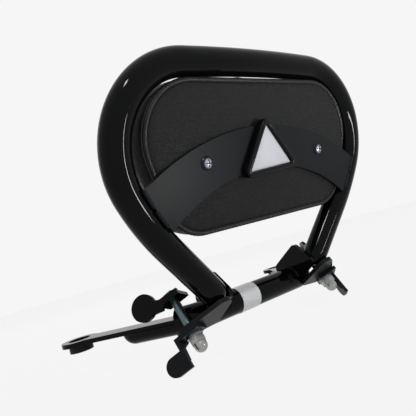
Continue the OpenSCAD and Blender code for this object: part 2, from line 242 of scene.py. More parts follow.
def sweep(name, path, radius, sides=16, closed=False, up=(0, 0, 1)):
    """Tube along a path: each ring is path + radius (cos a side + sin a up), square to the path.

    The radius may be one number or one per point. Open ends are closed by a rounded tip.
    """
    p = np.asarray(path, float)
    n = len(p)
    if closed:
        tangent = np.roll(p, -1, axis=0) - np.roll(p, 1, axis=0)
    else:
        tangent = np.gradient(p, axis=0)
    tangent /= np.linalg.norm(tangent, axis=1)[:, None]
    side = np.cross(tangent, np.broadcast_to(np.asarray(up, float), p.shape))
    side /= np.linalg.norm(side, axis=1)[:, None]
    over = np.cross(side, tangent)
    r = np.broadcast_to(np.asarray(radius, float), (n,))
    a = np.linspace(0, 2 * math.pi, sides, endpoint=False)
    ring = (np.cos(a)[None, :, None] * side[:, None, :] + np.sin(a)[None, :, None] * over[:, None, :])
    rings = p[:, None, :] + r[:, None, None] * ring
    if closed:
        return rings_mesh(name, rings, closed_path=True)
    tips = []
    for end, sign in ((0, -1), (-1, 1)):
        k = np.radians([30, 60])
        t = [p[end] + r[end] * (sign * math.sin(q) * tangent[end] + math.cos(q) * ring[end]) for q in k]
        tips.append((t[::-1] if end == 0 else t, p[end] + sign * r[end] * tangent[end]))
    rings = np.concatenate([np.array(tips[0][0]), rings, np.array(tips[1][0])])
    return rings_mesh(name, rings, cap_start=tips[0][1], cap_end=tips[1][1])


def weld_bead(name, path, radius, pitch=2.2):
    """Bead along a path: a tube whose radius is 0.9 + 0.22 |sin| of the run over the weld pool's pitch."""
    p = resample(path, max(12, int(polyline_length(path) * 4)), closed=False)
    run = np.linspace(0, polyline_length(path), len(p))
    ripple = np.abs(np.sin(math.pi * run / pitch)) * 0.22 + 0.06 * np.sin(run * 0.9 + radius * 7)
    return sweep(name, p, radius * (0.9 + ripple), sides=12)


def polyline_length(path):
    """Sum of the lengths of a path's segments."""
    return float(np.linalg.norm(np.diff(np.asarray(path, float), axis=0), axis=1).sum())


# Shader groups

def group(name, inputs, outputs):
    """New shader node group with named inputs (name, type, default) and outputs (name, type)."""
    tree = bpy.data.node_groups.new(name, "ShaderNodeTree")
    for label, kind, default in inputs:
        socket = tree.interface.new_socket(label, in_out="INPUT", socket_type=kind)
        if default is not None:
            socket.default_value = default
    for label, kind in outputs:
        tree.interface.new_socket(label, in_out="OUTPUT", socket_type=kind)
    return tree, tree.nodes.new("NodeGroupInput"), tree.nodes.new("NodeGroupOutput")


def add(tree, kind, values=None, **settings):
    """New node with its settings and its unlinked input values."""
    node = tree.nodes.new(kind)
    for key, value in settings.items():
        setattr(node, key, value)
    for key, value in (values or {}).items():
        node.inputs[key].default_value = value
    return node


def math_node(tree, operation, a, b, clamp=False):
    """Math node between two sockets or numbers."""
    node = add(tree, "ShaderNodeMath", operation=operation, use_clamp=clamp)
    for k, v in enumerate((a, b)):
        if isinstance(v, (int, float)):
            node.inputs[k].default_value = v
        else:
            tree.links.new(v, node.inputs[k])
    return node.outputs[0]


def make_orange_peel():
    """Enamel: the slow waves and fine pits of sprayed paint, and dust that settled before it dried."""
    tree, gin, gout = group(
        "orange peel",
        [
            ("Vector", "NodeSocketVector", None),
            ("Wave Scale", "NodeSocketFloat", 160.0),
            ("Dust Scale", "NodeSocketFloat", 900.0),
        ],
        [("Height", "NodeSocketFloat"), ("Tone", "NodeSocketFloat"), ("Dust", "NodeSocketFloat")],
    )
    wave = add(tree, "ShaderNodeTexNoise", {"Detail": 3.0, "Roughness": 0.45})
    slow = add(tree, "ShaderNodeTexNoise", {"Scale": 14.0, "Detail": 2.0})
    dust = add(tree, "ShaderNodeTexNoise", {"Detail": 4.0, "Roughness": 0.7})
    for node in (wave, slow, dust):
        tree.links.new(gin.outputs["Vector"], node.inputs["Vector"])
    tree.links.new(gin.outputs["Wave Scale"], wave.inputs["Scale"])
    tree.links.new(gin.outputs["Dust Scale"], dust.inputs["Scale"])
    ramp = add(tree, "ShaderNodeMapRange", {"From Min": 0.66, "From Max": 0.78})
    tree.links.new(dust.outputs["Fac"], ramp.inputs["Value"])
    tree.links.new(wave.outputs["Fac"], gout.inputs["Height"])
    tree.links.new(slow.outputs["Fac"], gout.inputs["Tone"])
    tree.links.new(ramp.outputs["Result"], gout.inputs["Dust"])
    return tree


def make_pebble_grain():
    """Vinyl: rounded pebbles with creases between them, crossed by soft larger unevenness."""
    tree, gin, gout = group(
        "pebble grain",
        [
            ("Vector", "NodeSocketVector", None),
            ("Pebble Scale", "NodeSocketFloat", 900.0),
            ("Unevenness", "NodeSocketFloat", 0.35),
        ],
        [("Height", "NodeSocketFloat"), ("Crease", "NodeSocketFloat"), ("Tone", "NodeSocketFloat")],
    )
    warp = add(tree, "ShaderNodeTexNoise", {"Scale": 420.0, "Detail": 1.0})
    tree.links.new(gin.outputs["Vector"], warp.inputs["Vector"])
    shift = add(tree, "ShaderNodeVectorMath", operation="MULTIPLY_ADD")
    shift.inputs[1].default_value = (0.0009, 0.0009, 0.0009)
    tree.links.new(warp.outputs["Color"], shift.inputs[0])
    tree.links.new(gin.outputs["Vector"], shift.inputs[2])
    cells = add(tree, "ShaderNodeTexVoronoi", {"Randomness": 0.9}, feature="DISTANCE_TO_EDGE")
    tree.links.new(shift.outputs[0], cells.inputs["Vector"])
    tree.links.new(gin.outputs["Pebble Scale"], cells.inputs["Scale"])
    crown = add(
        tree, "ShaderNodeMapRange", {"From Min": 0.0, "From Max": 0.32}, interpolation_type="SMOOTHSTEP"
    )
    tree.links.new(cells.outputs["Distance"], crown.inputs["Value"])
    slow = add(tree, "ShaderNodeTexNoise", {"Scale": 34.0, "Detail": 3.0})
    tree.links.new(gin.outputs["Vector"], slow.inputs["Vector"])
    lift = math_node(tree, "MULTIPLY", slow.outputs["Fac"], gin.outputs["Unevenness"])
    total = math_node(tree, "ADD", crown.outputs["Result"], lift)
    tree.links.new(total, gout.inputs["Height"])
    crease = math_node(tree, "SUBTRACT", 1.0, crown.outputs["Result"])
    tree.links.new(crease, gout.inputs["Crease"])
    tree.links.new(slow.outputs["Fac"], gout.inputs["Tone"])
    return tree


def make_worked_metal():
    """Bare metal: fine lines from the tool along one direction, and cloudy plating."""
    tree, gin, gout = group(
        "worked metal",
        [("Vector", "NodeSocketVector", None), ("Cloud Scale", "NodeSocketFloat", 220.0)],
        [("Height", "NodeSocketFloat"), ("Cloud", "NodeSocketFloat"), ("Stain", "NodeSocketFloat")],
    )
    squeeze = add(tree, "ShaderNodeMapping", {"Scale": (260.0, 2600.0, 2600.0)})
    tree.links.new(gin.outputs["Vector"], squeeze.inputs["Vector"])
    lines = add(tree, "ShaderNodeTexNoise", {"Scale": 1.0, "Detail": 2.0})
    tree.links.new(squeeze.outputs[0], lines.inputs["Vector"])
    cloud = add(tree, "ShaderNodeTexNoise", {"Detail": 4.0, "Roughness": 0.6})
    tree.links.new(gin.outputs["Vector"], cloud.inputs["Vector"])
    tree.links.new(gin.outputs["Cloud Scale"], cloud.inputs["Scale"])
    stain = add(tree, "ShaderNodeMapRange", {"From Min": 0.55, "From Max": 0.8})
    tree.links.new(cloud.outputs["Fac"], stain.inputs["Value"])
    tree.links.new(lines.outputs["Fac"], gout.inputs["Height"])
    tree.links.new(cloud.outputs["Fac"], gout.inputs["Cloud"])
    tree.links.new(stain.outputs["Result"], gout.inputs["Stain"])
    return tree


GROUP_MAKERS = {
    "orange peel": make_orange_peel,
    "pebble grain": make_pebble_grain,
    "worked metal": make_worked_metal,
}
GROUPS = {}


def shared(name):
    """The shader group of that name, built once."""
    if name not in GROUPS:
        GROUPS[name] = GROUP_MAKERS[name]()
    return GROUPS[name]


def shade(tone, factor):
    """A colour times a factor."""
    return tuple(factor * c for c in tone)


# Materials

def start_material(name):
    """New material with its Principled shader, and Object coordinates."""
    material = bpy.data.materials.new(name)
    material.use_nodes = True
    tree = material.node_tree
    shader = tree.nodes["Principled BSDF"]
    where = tree.nodes.new("ShaderNodeTexCoord")
    return material, tree, shader, where.outputs["Object"]


def place_group(tree, name, vector, values):
    """A shared group in a material, with its own values."""
    node = tree.nodes.new("ShaderNodeGroup")
    node.node_tree = shared(name)
    tree.links.new(vector, node.inputs["Vector"])
    for key, value in values.items():
        node.inputs[key].default_value = value
    return node


def blend_colours(tree, mask, first, second):
    """Colour that goes from the first to the second with a mask; each is a colour or a socket."""
    mix = add(tree, "ShaderNodeMix", data_type="RGBA")
    tree.links.new(mask, mix.inputs[0])
    for socket, colour in ((mix.inputs[6], first), (mix.inputs[7], second)):
        if isinstance(colour, tuple):
            socket.default_value = (*colour, 1)
        else:
            tree.links.new(colour, socket)
    return mix.outputs[2]


def span(tree, mask, low, high):
    """Value from low to high with a mask."""
    node = add(tree, "ShaderNodeMapRange", {"To Min": low, "To Max": high})
    tree.links.new(mask, node.inputs["Value"])
    return node.outputs["Result"]


def bump(tree, shader, height, strength, distance):
    """Bump from a height into the shader's normal."""
    node = add(tree, "ShaderNodeBump", {"Strength": strength, "Distance": distance})
    tree.links.new(height, node.inputs["Height"])
    tree.links.new(node.outputs["Normal"], shader.inputs["Normal"])
    return node


def enamel(name, tone, rough, waves, strength, shine=0.08):
    """Sprayed black enamel: nearly black, lighter where dust settled, with orange peel in its gloss."""
    material, tree, shader, where = start_material(name)
    peel = place_group(tree, "orange peel", where, {"Wave Scale": waves})
    base = blend_colours(tree, peel.outputs["Tone"], shade(tone, 0.6), shade(tone, 1.4))
    dust = math_node(tree, "MULTIPLY", peel.outputs["Dust"], 0.4)
    tree.links.new(blend_colours(tree, dust, base, (0.02, 0.02, 0.02)), shader.inputs["Base Color"])
    tree.links.new(span(tree, peel.outputs["Dust"], rough, rough + 0.22), shader.inputs["Roughness"])
    shader.inputs["Specular IOR Level"].default_value = shine
    bump(tree, shader, peel.outputs["Height"], strength, 0.0004)
    return material


def vinyl(name, tone, rough, scale, strength, shine=0.1):
    """Grained vinyl: black pebbles with painted shade and more roughness in the creases, and a soft shine on their
    crowns.
    """
    material, tree, shader, where = start_material(name)
    grain = place_group(tree, "pebble grain", where, {"Pebble Scale": scale})
    worn = blend_colours(tree, grain.outputs["Tone"], shade(tone, 0.75), shade(tone, 1.35))
    # Painted shade: the colour darkens to 0.35 of the tone in the creases between the pebbles.
    crease_painted_shade = blend_colours(tree, grain.outputs["Crease"], worn, shade(tone, 0.35))
    tree.links.new(crease_painted_shade, shader.inputs["Base Color"])
    tree.links.new(span(tree, grain.outputs["Crease"], rough, rough + 0.25), shader.inputs["Roughness"])
    shader.inputs["Specular IOR Level"].default_value = shine
    bump(tree, shader, grain.outputs["Height"], strength, 0.0003)
    return material


def plated(name, tone, rough, strength, stained=0.55):
    """Plated or bare metal: cloudy plating, tool lines, and duller stains."""
    material, tree, shader, where = start_material(name)
    metal = place_group(tree, "worked metal", where, {"Cloud Scale": 380.0})
    colour = blend_colours(tree, metal.outputs["Stain"], tone, shade(tone, stained))
    tree.links.new(colour, shader.inputs["Base Color"])
    tree.links.new(span(tree, metal.outputs["Cloud"], rough, rough + 0.2), shader.inputs["Roughness"])
    shader.inputs["Metallic"].default_value = 1.0
    bump(tree, shader, metal.outputs["Height"], strength, 0.0001)
    return material


def screw_plating(name, tone, rough, strength):
    """Plating of the pan heads: the crowns keep the plating's colour, and painted shade darkens it to near black
    towards the rim and in the cross recess.

    The mask is a point's distance along the loop's normal, from 0.8 to 1.5 mm below the head's crown.
    """
    material, tree, shader, where = start_material(name)
    metal = place_group(tree, "worked metal", where, {})
    normal = np.array([0.0, math.cos(LEAN), math.sin(LEAN)])
    crown = float(to_row(from_loop(np.array([0.0, -TUBE_R - HEAD_H, 0.0]))) @ normal)
    along = add(tree, "ShaderNodeVectorMath", operation="DOT_PRODUCT")
    along.inputs[1].default_value = tuple(normal)
    tree.links.new(where, along.inputs[0])
    # Painted shade: points deeper than the crown turn nearly black, in place of the shade in the cross recess and
    # at the rim.
    recess_shade_mask = add(tree, "ShaderNodeMapRange", {"From Min": crown + 0.0008, "From Max": crown + 0.0015})
    tree.links.new(along.outputs["Value"], recess_shade_mask.inputs["Value"])
    colour = blend_colours(tree, metal.outputs["Stain"], tone, shade(tone, 0.7))
    recess_painted_shade = blend_colours(tree, recess_shade_mask.outputs["Result"], colour, (0.02, 0.022, 0.024))
    tree.links.new(recess_painted_shade, shader.inputs["Base Color"])
    tree.links.new(span(tree, metal.outputs["Cloud"], rough, rough + 0.2), shader.inputs["Roughness"])
    shader.inputs["Metallic"].default_value = 1.0
    bump(tree, shader, metal.outputs["Height"], strength, 0.0001)
    return material


def moulded(name, tone, rough):
    """Moulded plastic or rubber: fine skin with a slow change of tone."""
    material, tree, shader, where = start_material(name)
    peel = place_group(tree, "orange peel", where, {"Wave Scale": 700.0})
    base = blend_colours(tree, peel.outputs["Tone"], shade(tone, 0.7), shade(tone, 1.3))
    tree.links.new(base, shader.inputs["Base Color"])
    tree.links.new(span(tree, peel.outputs["Height"], rough - 0.05, rough + 0.08), shader.inputs["Roughness"])
    shader.inputs["Specular IOR Level"].default_value = 0.12
    bump(tree, shader, peel.outputs["Height"], 0.12, 0.0002)
    return material


def label_film(name, tone):
    """Silvery film of the tube's label: slightly creased, with a grey cast that changes slowly."""
    material, tree, shader, where = start_material(name)
    cloud = place_group(tree, "worked metal", where, {"Cloud Scale": 60.0})
    colour = blend_colours(tree, cloud.outputs["Cloud"], shade(tone, 0.82), tone)
    tree.links.new(colour, shader.inputs["Base Color"])
    tree.links.new(span(tree, cloud.outputs["Stain"], 0.28, 0.45), shader.inputs["Roughness"])
    bump(tree, shader, cloud.outputs["Cloud"], 0.15, 0.0003)
    return material


def plywood(name):
    """Board inside the pad: pale plywood with long grain."""
    material, tree, shader, where = start_material(name)
    squeeze = add(tree, "ShaderNodeMapping", {"Scale": (12.0, 160.0, 160.0)})
    tree.links.new(where, squeeze.inputs["Vector"])
    grain = add(tree, "ShaderNodeTexNoise", {"Scale": 1.0, "Detail": 5.0, "Distortion": 0.4})
    tree.links.new(squeeze.outputs[0], grain.inputs["Vector"])
    colour = blend_colours(tree, grain.outputs["Fac"], (0.32, 0.2, 0.1), (0.6, 0.45, 0.28))
    tree.links.new(colour, shader.inputs["Base Color"])
    shader.inputs["Roughness"].default_value = 0.7
    bump(tree, shader, grain.outputs["Fac"], 0.2, 0.0003)
    return material


FINISHES = {}


def finish(name):
    """A finish that more than one operator uses, made from the settings when it is first asked for."""
    if name not in FINISHES:
        scene = bpy.context.scene
        black = tuple(scene.backrest_finish.enamel_tone)
        if name == "gloss":
            FINISHES[name] = enamel("gloss black enamel", black, 0.04, 130.0, 0.05)
        elif name == "satin":
            FINISHES[name] = enamel("satin black enamel", shade(black, 4.0), 0.36, 260.0, 0.16, shine=0.05)
        elif name == "vinyl":
            FINISHES[name] = vinyl("grained vinyl", tuple(scene.backrest_pad.vinyl_tone), 0.36, 820.0, 0.55)
    return FINISHES[name]


def finish_node(name, material):
    """Gives a node of the drawing its material."""
    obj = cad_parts[name]
    if not obj.material_slots:
        obj.data.materials.append(material)
    for slot in obj.material_slots:
        slot.material = material


def break_edges(name, width):
    """Rounds a node's sharp edges by a modifier of the given width in metres."""
    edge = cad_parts[name].modifiers.new("broken edges", "BEVEL")
    edge.width = width
    edge.segments = 2
    edge.limit_method = "ANGLE"
    edge.angle_limit = math.radians(50)
    edge.harden_normals = True


def dress(obj, material, slot, *nodes):
    """A new piece gets its material, rides on the body and stands for the nodes named. The slot is not used."""
    obj.data.materials.clear()
    obj.data.materials.append(material)
    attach(obj, BODY)
    if nodes:
        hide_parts(*nodes)


# Settings

class BackrestPadSettings(bpy.types.PropertyGroup):
    """Sizes and tones of the padding."""

    crown: bpy.props.FloatProperty(
        name="Crown", description="Rise of the pad's front towards its middle", default=0.004, min=0,
        max=0.008, unit="LENGTH",
    )
    shoulder: bpy.props.FloatProperty(
        name="Shoulder", description="Width of the pad's rounded shoulder", default=0.024, min=0.012,
        max=0.03, unit="LENGTH",
    )
    bulge: bpy.props.FloatProperty(
        name="Bulge", description="How far the stuffed side stands out past the seam", default=0.003,
        min=0, max=0.004, unit="LENGTH",
    )
    swell: bpy.props.FloatProperty(
        name="Swell", description="Farthest that the stuffing may push the cover out", default=0.003,
        min=0, max=0.005, unit="LENGTH",
    )
    pucker: bpy.props.FloatProperty(
        name="Pucker", description="Depth of the puckers at the piping's seam", default=0.00035, min=0,
        max=0.001, unit="LENGTH",
    )
    vinyl_tone: bpy.props.FloatVectorProperty(
        name="Vinyl", description="Colour of the grained vinyl", default=(0.0125, 0.0128, 0.0134), size=3,
        min=0, max=1, subtype="COLOR",
    )


class BackrestFinishSettings(bpy.types.PropertyGroup):
    """Tones of the enamel, metal and small trim."""

    enamel_tone: bpy.props.FloatVectorProperty(
        name="Enamel", description="Colour of the black enamel", default=(0.0022, 0.0024, 0.0026), size=3,
        min=0, max=1, subtype="COLOR",
    )
    zinc_tone: bpy.props.FloatVectorProperty(
        name="Zinc", description="Colour of the bright zinc plating", default=(0.24, 0.265, 0.30), size=3,
        min=0, max=1, subtype="COLOR",
    )
    bolt_tone: bpy.props.FloatVectorProperty(
        name="Clamp bolts", description="Colour of the clamp bolts' plating", default=(0.10, 0.145, 0.15),
        size=3, min=0, max=1, subtype="COLOR",
    )
    nut_tone: bpy.props.FloatVectorProperty(
        name="Acorn nuts", description="Colour of the acorn nuts", default=(0.31, 0.31, 0.30), size=3,
        min=0, max=1, subtype="COLOR",
    )
    badge_tone: bpy.props.FloatVectorProperty(
        name="Badge face", description="Colour of the badge's bare face", default=(0.43, 0.435, 0.465),
        size=3, min=0, max=1, subtype="COLOR",
    )
    label_tone: bpy.props.FloatVectorProperty(
        name="Label", description="Colour of the label's film", default=(0.74, 0.75, 0.76), size=3, min=0,
        max=1, subtype="COLOR",
    )


class BackrestStageSettings(bpy.types.PropertyGroup):
    """Studio."""

    backdrop: bpy.props.FloatVectorProperty(
        name="Backdrop", description="Colour of the background", default=(0.922, 0.922, 0.922), size=3,
        min=0, max=1, subtype="COLOR",
    )
    lamp_scale: bpy.props.FloatProperty(
        name="Lamps", description="Strength of all the lamps together", default=1.0, min=0.1, max=4.0,
        subtype="FACTOR",
    )


# Operators

class BACKREST_OT_tubes(bpy.types.Operator):
    """Enamels the tubes, plates, tongues and hooks"""

    bl_idname = "backrest.tubes"
    bl_label = "Enamel the tubes and plates"

    def execute(self, context):
        for name in ("loop_tube", "base_tube"):
            finish_node(name, finish("gloss"))
        plates = [("cross_plate", "satin")]
        for side in ("left", "right"):
            for piece in ("tongue", "mount_plate", "cheek", "upper_hook", "lower_hook"):
                look = "satin" if piece in ("mount_plate", "lower_hook") else "gloss"
                plates.append((piece + "_" + side, look))
        for name, look in plates:
            finish_node(name, finish(look))
            break_edges(name, EDGE_WIDTH)
        return {"FINISHED"}


class BACKREST_OT_hardware(bpy.types.Operator):
    """Plates the bolts, nuts, washers and screws, and finishes bushes, board and label"""

    bl_idname = "backrest.hardware"
    bl_label = "Finish the hardware"

    def execute(self, context):
        tones = context.scene.backrest_finish
        zinc = plated("bright zinc", tuple(tones.zinc_tone), 0.22, 0.12)
        rod = plated("bolt zinc", tuple(tones.bolt_tone), 0.25, 0.15)
        chrome = plated("nut plating", tuple(tones.nut_tone), 0.16, 0.2, stained=0.12)
        rubber = moulded("bush rubber", (0.010, 0.010, 0.010), 0.5)
        for side in ("left", "right"):
            finish_node("clamp_bolt_" + side, rod)
            finish_node("acorn_nut_" + side, chrome)
            finish_node("tongue_bush_" + side, rubber)
        for name in ("clamp_washers", "pad_inserts"):
            finish_node(name, zinc)
        heads = screw_plating("screw plating", shade(tones.zinc_tone, 1.5), 0.2, 0.1)
        finish_node("pad_screws", heads)
        finish_node("tube_label", label_film("label film", tuple(tones.label_tone)))
        finish_node("pad_board", plywood("plywood"))
        return {"FINISHED"}


class BACKREST_OT_cushion(bpy.types.Operator):
    """Builds the stuffed cushion: a crowned form from the pad's outline, swollen by its stuffing"""

    bl_idname = "backrest.cushion"
    bl_label = "Build the cushion"

    def execute(self, context):
        size = context.scene.backrest_pad
        cushion = cushion_form("cushion", size.shoulder * 1000, size.crown * 1000, size.bulge * 1000)
        stuff(cushion, size.swell)
        smooth = cushion.modifiers.new("smooth", "SUBSURF")
        smooth.levels = smooth.render_levels = 1
        dress(cushion, finish("vinyl"), "pad_vinyl", "pad_cushion")
        return {"FINISHED"}


def cushion_form(name, shoulder, crown, bulge):
    """Closed form over the pad's outline.

    Side and shoulder: with q from 0 to 90 degrees, the inset is shoulder (1 - cos q) ^ 1.3 less the
    bulge sin(2 q) squared, and the depth grows by sin q ^ 0.9. Front: the last ring shrinks towards
    the middle by s while the depth rises by crown (1 - s squared).
    """
    count = PAD_POINTS
    depth0, rise = PIPING - 0.6, PAD_T - PIPING - crown
    rear = COVER_T + 0.2
    under_cover = ((30.0, rear), (12.0, rear), (PIPING + 0.4, rear + 0.1), (PIPING * 0.7, PIPING - 1.4))
    rows = [(pad_outline(inset, count), depth) for inset, depth in under_cover]
    q = np.radians(np.linspace(4, 90, 13))
    inset = shoulder * (1 - np.cos(q)) ** 1.3 + 1.2 * (1 - np.sin(q)) ** 3 - bulge * np.sin(2 * q) ** 2
    depth = depth0 + rise * np.sin(q) ** 0.9
    rows += [(pad_outline(a, count), b) for a, b in zip(inset, depth)]
    edge = pad_outline(inset[-1], count)
    middle = pad_middle()
    for s in (0.93, 0.84, 0.7, 0.54, 0.38, 0.22, 0.08):
        rows.append((middle + (edge - middle) * s, depth0 + rise + crown * (1 - s * s)))
    rings = np.array([np.column_stack([p[:, 0], np.full(count, PAD_Y + d), p[:, 1]]) for p, d in rows])
    back = to_row(from_loop(np.array([middle[0], PAD_Y + rear, middle[1]])))
    front = to_row(from_loop(np.array([middle[0], PAD_Y + depth0 + rise + crown, middle[1]])))
    return rings_mesh(name, to_row(from_loop(rings)), cap_start=back, cap_end=front)


def pad_middle():
    """Middle of the pad's outline, as x and z in the loop's plane."""
    return np.array([0.0, (PAD_HI[1] + PAD_HI_R + PAD_LO[1] - PAD_LO_R) / 2])


def depth_in_pad(points):
    """Distance in front of the pad's back, in metres, of points in the row frame."""
    normal = np.array([0.0, math.cos(LEAN), math.sin(LEAN)])
    base = to_row(from_loop(np.array([0.0, PAD_Y, 0.0])))
    return (points - base) @ normal


def stuff(obj, limit):
    """Pushes the cover out by the stuffing: an even mesh under pressure, its rear held.

    Each vertex moves by the least of what the cloth gives and limit f f (3 - 2 f), where f is its depth
    past the held rear over the length of the fade.
    """
    scene = bpy.context.scene
    held_depth, fade_length, frames = 0.012, 0.02, 20
    remesh = obj.modifiers.new("even", "REMESH")
    remesh.mode = "VOXEL"
    remesh.voxel_size = 0.0048
    bake_modifiers(obj)
    rest = vertex_places(obj.data)
    held = obj.vertex_groups.new(name="held")
    depth = depth_in_pad(rest)
    held.add(np.flatnonzero(depth < held_depth).tolist(), 1.0, "REPLACE")
    cloth = obj.modifiers.new("cloth", "CLOTH")
    cloth.settings.use_pressure = True
    cloth.settings.uniform_pressure_force = 4.0
    cloth.settings.effector_weights.gravity = 0.0
    cloth.settings.vertex_group_mass = "held"
    cloth.point_cache.frame_start = 1
    cloth.point_cache.frame_end = frames
    for step in range(1, frames + 1):
        scene.frame_set(step)
    solved = obj.evaluated_get(bpy.context.evaluated_depsgraph_get())
    push = vertex_places(solved.to_mesh()) - rest
    solved.to_mesh_clear()
    obj.modifiers.remove(cloth)
    obj.vertex_groups.clear()
    scene.frame_set(1)
    size = np.linalg.norm(push, axis=1)
    fade = np.clip((depth - held_depth) / fade_length, 0, 1)
    cap = limit * fade * fade * (3 - 2 * fade)
    push *= (np.minimum(size, cap) / np.maximum(size, 1e-9))[:, None]
    obj.data.vertices.foreach_set("co", (rest + push).ravel())
    obj.data.polygons.foreach_set("use_smooth", np.ones(len(obj.data.polygons), bool))
    obj.data.update()


def bake_modifiers(obj):
    """Replaces an object's mesh by what its modifiers make of it."""
    graph = bpy.context.evaluated_depsgraph_get()
    mesh = bpy.data.meshes.new_from_object(obj.evaluated_get(graph))
    obj.modifiers.clear()
    obj.data = mesh


class BACKREST_OT_back(bpy.types.Operator):
    """Builds the pad's vinyl back with the puckers at its seam, and the piping"""

    bl_idname = "backrest.back"
    bl_label = "Build the pad's back and piping"

    def execute(self, context):
        size = context.scene.backrest_pad
        back = back_cover("back_cover", size.pucker * 1000)
        dress(back, finish("vinyl"), "back_vinyl", "pad_back_cover")
        welt = vinyl("piping vinyl", shade(size.vinyl_tone, 0.5), 0.2, 1100.0, 0.25, shine=0.2)
        piping = piping_cord("piping")
        dress(piping, welt, "piping", "pad_piping")
        return {"FINISHED"}


def back_cover(name, pucker):
    """Thin cover over the pad's outline: rings from the piping inwards.

    Its rear dips towards the seam as exp(-d / 2) and puckers there as sin(62 a) exp(-d / 5), where d is
    the distance from the seam and a the share of the way round.
    """
    count = BACK_POINTS
    share = np.arange(count) / count
    rear = []
    start = PIPING * 0.62
    for d in (0.0, 0.7, 1.5, 2.6, 4.2, 6.5, 10.0, 15.0, 21.0, 28.0):
        p = pad_outline(start + d, count)
        wave = np.sin(2 * math.pi * 62 * share + 1.7 * np.sin(2 * math.pi * 5 * share))
        fold = pucker * math.exp(-d / 5) * (1 - math.exp(-d / 0.8)) * wave
        y = PAD_Y + 2.2 * math.exp(-d / 2.0) + fold + 0.02 + 0.4 * pucker
        rear.append(np.column_stack([p[:, 0], y * np.ones(count), p[:, 1]]))
    middle = pad_middle()
    edge = rear[-1]
    for s in (0.75, 0.5, 0.25):
        p = middle + (edge[:, [0, 2]] - middle) * s
        rear.append(np.column_stack([p[:, 0], edge[:, 1], p[:, 1]]))
    front = []
    for d, y in ((0.0, 2.9), (8.0, COVER_T), (30.0, COVER_T)):
        p = pad_outline(start + d + 0.2, count)
        front.append(np.column_stack([p[:, 0], np.full(count, PAD_Y + y), p[:, 1]]))
    rings = np.array(rear[::-1] + front)
    centre_rear = to_row(from_loop(np.array([middle[0], edge[:, 1].mean(), middle[1]])))
    centre_front = to_row(from_loop(np.array([middle[0], PAD_Y + COVER_T, middle[1]])))
    return rings_mesh(name, to_row(from_loop(rings)), cap_start=centre_rear, cap_end=centre_front)


def piping_cord(name):
    """Piping: a round welt along the outline, with its lapped joint on the top edge.

    Its radius pulls in by a sine for each stitch, and swells at the joint by exp(-(distance / 3.5) ^ 2).
    """
    count, stitches, joint_x = PIPING_POINTS, 155, -24.0
    p = pad_outline(PIPING / 2, count)
    run = np.arange(count)
    radius = PIPING / 2 - 0.08 + 0.06 * np.sin(2 * math.pi * run * stitches / count)
    joint = np.hypot(p[:, 0] - joint_x, p[:, 1] - (PAD_HI[1] + PAD_HI_R - PIPING / 2))
    radius = radius + 0.45 * np.exp(-(joint / 3.5) ** 2)
    path = np.column_stack([p[:, 0], np.full(count, PAD_Y + PIPING / 2), p[:, 1]])
    up = (0, math.cos(LEAN), math.sin(LEAN))
    return sweep(name, to_row(from_loop(path)), radius / 1000, sides=18, closed=True, up=up)


class BACKREST_OT_badge(bpy.types.Operator):
    """Builds the badge: a rounded triangular housing and its bare face"""

    bl_idname = "backrest.badge"
    bl_label = "Build the badge"

    def execute(self, context):
        tones = context.scene.backrest_finish
        outside = [(0.0, 0.0), (0.0, 3.5), (0.15, 5.4), (0.5, 6.6), (1.1, 7.4), (1.9, 7.9)]
        inside = [(2.9, 8.0), (3.8, 7.85), (4.6, 7.3), (5.1, 6.6), (5.35, 5.8), (5.38, 3.9), (5.38, 0.0)]
        housing = badge_rings("badge_housing", outside + inside, loop=True)
        dress(housing, moulded("badge plastic", (0.003, 0.003, 0.0033), 0.12), "badge_frame", "badge_frame")
        face = badge_rings("badge_plate", [(5.44, 3.7), (5.44, 4.9), (5.5, 5.1), (5.62, 5.2)], dome=0.25)
        dress(face, badge_face_metal("badge face", tuple(tones.badge_tone)), "badge_face", "badge_face")
        return {"FINISHED"}


def badge_rings(name, profile, loop=False, dome=0.0):
    """Carries a profile of (inset, height) round the badge's outline, closed on itself or by a dome.

    The dome's height is dome (1 - k squared), where k shrinks the last ring towards its middle.
    """
    count = BADGE_POINTS
    c, s = math.cos(BADGE_TURN), math.sin(BADGE_TURN)
    low = PLATE_TOP_Z - PLATE_H / 2 - BADGE_H / 2

    def place(p, height):
        x = p[..., 0] * c - p[..., 1] * s + BADGE_X
        z = p[..., 0] * s + p[..., 1] * c + low
        return to_row(from_loop(np.stack([x, -TUBE_R - height * np.ones_like(x), z], axis=-1)))

    rows = [place(badge_outline(a, count), h) for a, h in profile]
    if loop:
        return rings_mesh(name, rows, closed_path=True)
    rim = badge_outline(profile[-1][0], count)
    middle = np.array([0.0, BADGE_H * 0.36])
    top = profile[-1][1]
    for k in (0.85, 0.6, 0.3):
        rows.append(place(middle + (rim - middle) * k, top + dome * (1 - k * k)))
    return rings_mesh(name, rows, cap_start=place(middle, profile[0][1]), cap_end=place(middle, top + dome))


def badge_face_metal(name, tone):
    """Bare silver face: pale satin foil with a fine line and a slow cloud."""
    material, tree, shader, where = start_material(name)
    metal = place_group(tree, "worked metal", where, {"Cloud Scale": 45.0})
    colour = blend_colours(tree, metal.outputs["Cloud"], shade(tone, 0.86), shade(tone, 1.1))
    tree.links.new(colour, shader.inputs["Base Color"])
    tree.links.new(span(tree, metal.outputs["Height"], 0.42, 0.52), shader.inputs["Roughness"])
    shader.inputs["Metallic"].default_value = 0.1
    shader.inputs["Specular IOR Level"].default_value = 0.2
    bump(tree, shader, metal.outputs["Height"], 0.06, 0.0001)
    return material


class BACKREST_OT_welds(bpy.types.Operator):
    """Lays the weld beads where plates, tubes and tongues meet"""

    bl_idname = "backrest.welds"
    bl_label = "Lay the weld beads"

    def execute(self, context):
        beads = []
        for side in (-1, 1):
            beads += plate_beads(side) + foot_beads(side) + tongue_beads(side)
        welds = join_parts("weld_beads", beads)
        dress(welds, finish("satin"), "black_enamel")
        return {"FINISHED"}


